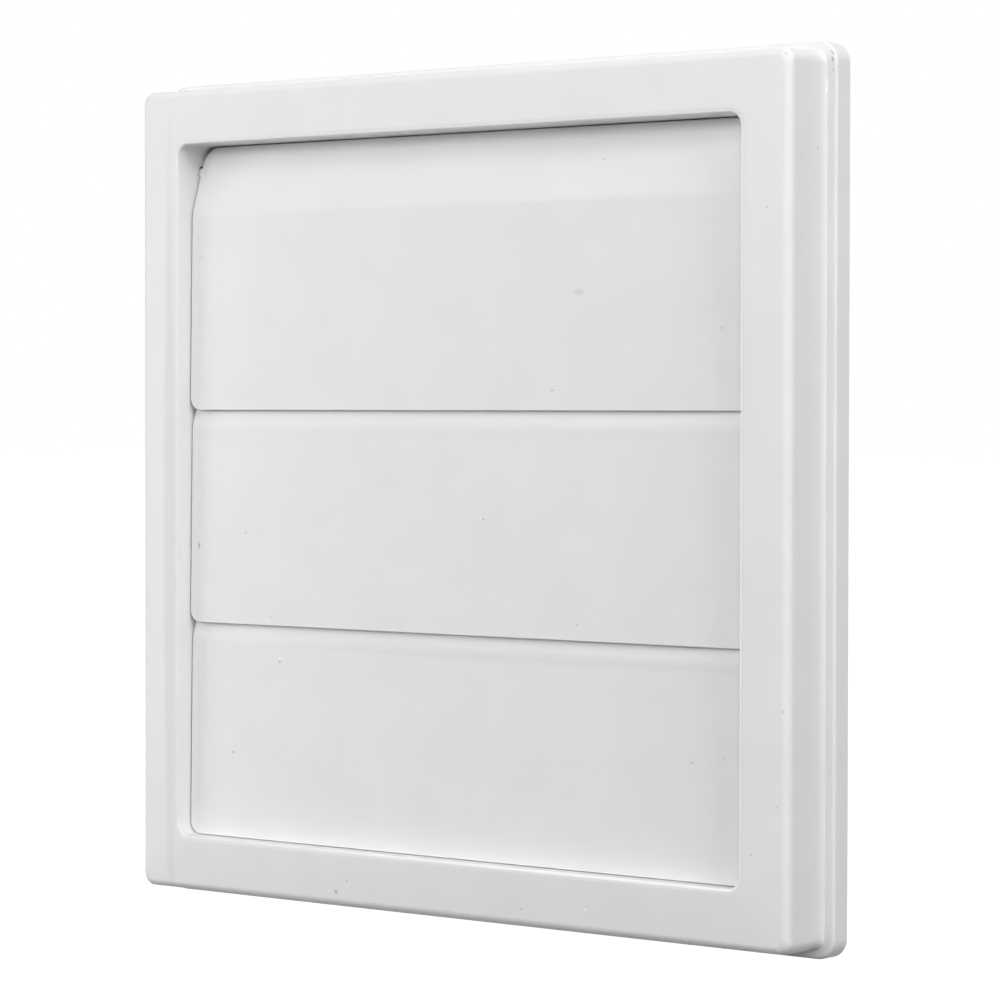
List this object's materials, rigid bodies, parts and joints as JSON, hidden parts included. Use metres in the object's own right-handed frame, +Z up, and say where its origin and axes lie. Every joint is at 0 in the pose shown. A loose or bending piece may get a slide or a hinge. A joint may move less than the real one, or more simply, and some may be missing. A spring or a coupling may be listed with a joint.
{
  "type": "gravity vent grille",
  "caption": "Square white plastic gravity vent grille: a clipped front frame with overlapping hinged flaps that lift in the air stream, on a wall plate with a round duct spigot.",
  "frame": {"origin": "on the duct axis, in the plane of the wall behind the flange", "axes": "+Y into the wall along the duct, the front faces -Y, +Z up, +X to the right as seen from the front"},
  "size_m": [0.14, 0.0372, 0.14],
  "materials": {
    "frame_plastic": "semi-gloss white moulding",
    "plate_plastic": "semi-gloss white moulding",
    "flap_plastic": "satin white moulding"
  },
  "bodies": {
    "housing": {"front_frame": "frame_plastic", "wall_plate": "plate_plastic"},
    "upper_flap": {"upper_flap": "flap_plastic"},
    "middle_flap": {"middle_flap": "flap_plastic"},
    "lower_flap": {"lower_flap": "flap_plastic"}
  },
  "joints": [
    {"name": "lower_flap_hinge", "type": "hinge", "parent": "housing", "child": "lower_flap", "pos_m": [0, -0.00707, -0.0184], "axis": [-1, 0, 0], "range_deg": [0, 90]},
    {"name": "middle_flap_hinge", "type": "hinge", "parent": "housing", "child": "middle_flap", "pos_m": [0, -0.00707, 0.018], "axis": [-1, 0, 0], "range_deg": [0, 90]},
    {"name": "upper_flap_hinge", "type": "hinge", "parent": "housing", "child": "upper_flap", "pos_m": [0, -0.00707, 0.0544], "axis": [-1, 0, 0], "range_deg": [0, 90]}
  ],
  "couplings": [
    {"joint": "middle_flap_hinge", "follows": "lower_flap_hinge", "ratio": 1},
    {"joint": "upper_flap_hinge", "follows": "lower_flap_hinge", "ratio": 1}
  ]
}
